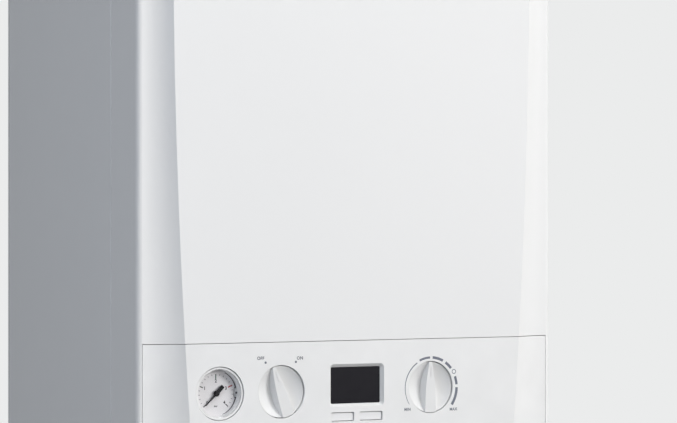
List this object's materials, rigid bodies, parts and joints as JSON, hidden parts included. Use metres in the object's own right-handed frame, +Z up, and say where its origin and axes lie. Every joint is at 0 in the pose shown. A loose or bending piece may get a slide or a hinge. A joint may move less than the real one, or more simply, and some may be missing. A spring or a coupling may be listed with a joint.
{
  "type": "combi boiler",
  "caption": "Wall-hung condensing combi boiler: white sheet casing with a coved, raised front panel over a hinged control box, and its working parts inside.",
  "frame": {"origin": "on the wall plane, in the middle of the width, level with the casing's lower edge", "axes": "+X to the boiler's right seen from the front, +Y into the wall, +Z up"},
  "size_m": [0.395, 0.278, 0.755],
  "materials": {
    "white_paint": "smooth satin powder coat",
    "white_plastic": "fine satin moulding",
    "knob_plastic": "fine satin moulding",
    "button_plastic": "fine satin moulding",
    "galvanised": "galvanised sheet",
    "zinc": "bright zinc plate",
    "spring_steel": "blued spring steel",
    "flue_plastic": "moulded polypropylene",
    "cast_aluminium": "die cast",
    "coil_steel": "stainless, heat tinted",
    "burner_steel": "perforated stainless",
    "gasket": "silicone",
    "black_rubber": "moulded",
    "ceramic": "glazed ceramic",
    "black_plastic": "moulded",
    "grey_plastic": "glass filled moulding",
    "vessel_red": "gloss paint",
    "brass": "machined and cast",
    "copper": "drawn copper tube",
    "brazed_steel": "copper brazed stainless",
    "pump_iron": "painted cast iron",
    "pump_motor_paint": "cathodic paint",
    "red_plastic": "moulded",
    "gas_yellow": "yellow paint over steel",
    "board_green": "solder mask over laminate",
    "box_plastic": "flame retardant moulding",
    "tinted_window": "tinted acrylic",
    "dial_white": "printed metal",
    "needle_black": "matt black",
    "clear_lens": "clear"
  },
  "bodies": {
    "chassis": {"wall_bracket": "galvanised", "back_plate": "galvanised", "side_panel_left": "white_paint", "side_panel_right": "white_paint", "top_panel": "white_paint", "bottom_tray": "galvanised", "hinge_brackets": "zinc", "support_shelf": "galvanised", "spring_clips": "spring_steel", "flue_collar": "flue_plastic", "flue_duct": "flue_plastic", "exchanger_shell": "cast_aluminium", "exchanger_coil": "coil_steel", "burner_tube": "burner_steel", "door_gasket": "gasket", "burner_door": "cast_aluminium", "door_nuts": "zinc", "mixing_manifold": "cast_aluminium", "ignition_electrode": "ceramic", "fan_housing": "cast_aluminium", "fan_motor": "black_plastic", "venturi": "grey_plastic", "gas_valve": "cast_aluminium", "gas_pipe": "gas_yellow", "vessel_shells": "vessel_red", "vessel_diaphragm": "black_rubber", "expansion_hose": "black_rubber", "flow_block": "brass", "return_block": "brass", "plate_exchanger": "brazed_steel", "diverter_motor": "black_plastic", "pump_housing": "pump_iron", "pump_motor": "pump_motor_paint", "relief_valve": "brass", "flow_pipe": "copper", "return_pipe": "copper", "condensate_trap": "grey_plastic", "condensate_hose": "grey_plastic", "union_nuts": "brass", "pipe_tails": "copper", "capillary_fixed": "copper"},
    "front_cover": {"front_panel": "white_paint", "panel_studs": "zinc"},
    "control_box": {"control_fascia": "white_plastic", "control_housing": "box_plastic", "control_cover": "box_plastic", "main_board": "board_green", "display_window": "tinted_window", "gauge_case": "white_plastic", "gauge_dial": "dial_white", "gauge_lens": "clear_lens", "capillary_moving": "copper"},
    "needle": {"gauge_needle": "needle_black"},
    "mode_knob": {"mode_knob": "knob_plastic"},
    "temperature_knob": {"temperature_knob": "knob_plastic"},
    "left_button": {"left_button": "button_plastic"},
    "right_button": {"right_button": "button_plastic"},
    "fan_rotor": {"fan_impeller": "grey_plastic"},
    "pump_rotor": {"pump_impeller": "grey_plastic"},
    "relief_cap": {"relief_knob": "red_plastic"}
  },
  "joints": [
    {"name": "front_panel_pull", "type": "slide", "parent": "chassis", "child": "front_cover", "axis": [0, -1, 0], "range_m": [0, 0.3]},
    {"name": "control_box_hinge", "type": "hinge", "parent": "chassis", "child": "control_box", "pos_m": [0, -0.246, 0.02], "axis": [1, 0, 0], "range_deg": [0, 90]},
    {"name": "mode_turn", "type": "hinge", "parent": "control_box", "child": "mode_knob", "pos_m": [-0.0713, -0.26, 0.0763], "axis": [0, 1, 0], "range_deg": [-11, 49]},
    {"name": "temperature_turn", "type": "hinge", "parent": "control_box", "child": "temperature_knob", "pos_m": [0.0713, -0.26, 0.0763], "axis": [0, 1, 0], "range_deg": [-125, 125]},
    {"name": "left_button_press", "type": "slide", "parent": "control_box", "child": "left_button", "axis": [0, 1, 0], "range_m": [0, 0.0012], "stiffness_N_per_m": 400},
    {"name": "right_button_press", "type": "slide", "parent": "control_box", "child": "right_button", "axis": [0, 1, 0], "range_m": [0, 0.0012], "stiffness_N_per_m": 400},
    {"name": "gauge_reading", "type": "hinge", "parent": "control_box", "child": "needle", "pos_m": [-0.1277, -0.27, 0.0763], "axis": [0, 1, 0], "range_deg": [0, 270]},
    {"name": "fan_spin", "type": "hinge", "parent": "chassis", "child": "fan_rotor", "pos_m": [-0.0447, -0.21, 0.285], "axis": [0, 1, 0], "continuous": true},
    {"name": "pump_spin", "type": "hinge", "parent": "chassis", "child": "pump_rotor", "pos_m": [0.115, -0.12, 0.172], "axis": [0, 1, 0], "continuous": true},
    {"name": "relief_turn", "type": "hinge", "parent": "chassis", "child": "relief_cap", "pos_m": [0.145, -0.17, 0.07], "axis": [0, -1, 0], "range_deg": [0, 90]}
  ]
}
